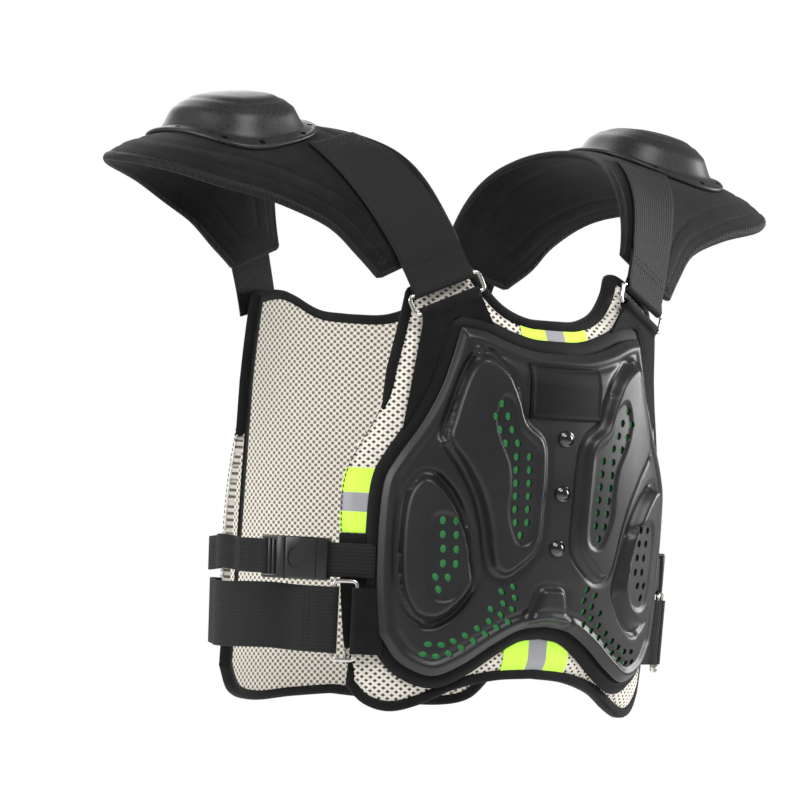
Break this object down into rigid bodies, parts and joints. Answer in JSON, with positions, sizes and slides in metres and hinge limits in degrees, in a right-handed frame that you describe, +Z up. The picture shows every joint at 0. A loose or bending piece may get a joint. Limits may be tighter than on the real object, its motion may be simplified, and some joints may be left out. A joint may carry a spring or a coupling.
{
  "type": "motorcycle armour vest",
  "caption": "Sleeveless motocross body armour: padded mesh chest and back panels under moulded plates, winged shoulder pads with domed caps, wire-ring straps and buckled waist belts.",
  "frame": {"origin": "between the shoulders at the height where the shoulder straps rest on them, on the vest's middle plane", "axes": "+X to the wearer's left, +Y to the wearer's back, +Z up; the wearer faces -Y"},
  "size_m": [0.5676, 0.3073, 0.4503],
  "materials": {
    "spacer_mesh": "off-white open spacer mesh",
    "black_fabric": "matt black padded knit and binding",
    "black_foam": "matt black moulded foam",
    "grey_shell": "satin dark grey moulded polypropylene",
    "green_liner": "green air mesh",
    "hi_vis_tape": "fluorescent yellow tape with a grey retroreflective middle",
    "black_webbing": "woven black webbing",
    "black_plastic": "black acetal",
    "plated_wire": "nickel-plated steel wire",
    "rubber_badge": "bare matt black rubber"
  },
  "bodies": {
    "root": {"chest_pad": "spacer_mesh", "chest_pad_binding": "black_fabric", "plate_carrier": "black_foam", "chest_plate": "grey_shell", "vent_liner": "green_liner", "chest_badge": "rubber_badge", "chest_snap_upper": "black_plastic", "chest_snap_middle": "black_plastic", "chest_snap_lower": "black_plastic", "tape_neck": "hi_vis_tape", "tape_hem": "hi_vis_tape", "tape_right": "hi_vis_tape", "tape_left": "hi_vis_tape", "side_panel_right": "black_fabric", "side_panel_left": "black_fabric", "shoulder_pad_right": "black_fabric", "shoulder_pad_left": "black_fabric", "shoulder_cap_right": "grey_shell", "shoulder_cap_left": "grey_shell", "shoulder_strap_front_right": "black_webbing", "shoulder_strap_front_left": "black_webbing", "shoulder_strap_back_right": "black_webbing", "shoulder_strap_back_left": "black_webbing", "shoulder_ring_right": "plated_wire", "shoulder_ring_left": "plated_wire", "chest_tab_right": "black_fabric", "chest_tab_left": "black_fabric", "waist_belt_right": "black_webbing", "waist_belt_left": "black_webbing", "waist_ring_right": "plated_wire", "waist_ring_left": "plated_wire", "waist_tab_right": "black_fabric", "waist_tab_left": "black_fabric", "buckle_tab_right": "black_webbing", "buckle_tab_left": "black_webbing", "buckle_socket_right": "black_plastic", "buckle_socket_left": "black_plastic", "buckle_plug_right": "black_plastic", "buckle_plug_left": "black_plastic", "buckle_web_right": "black_webbing", "buckle_web_left": "black_webbing", "back_pad": "spacer_mesh", "back_pad_binding": "black_fabric", "back_plate": "grey_shell"}
  },
  "joints": []
}
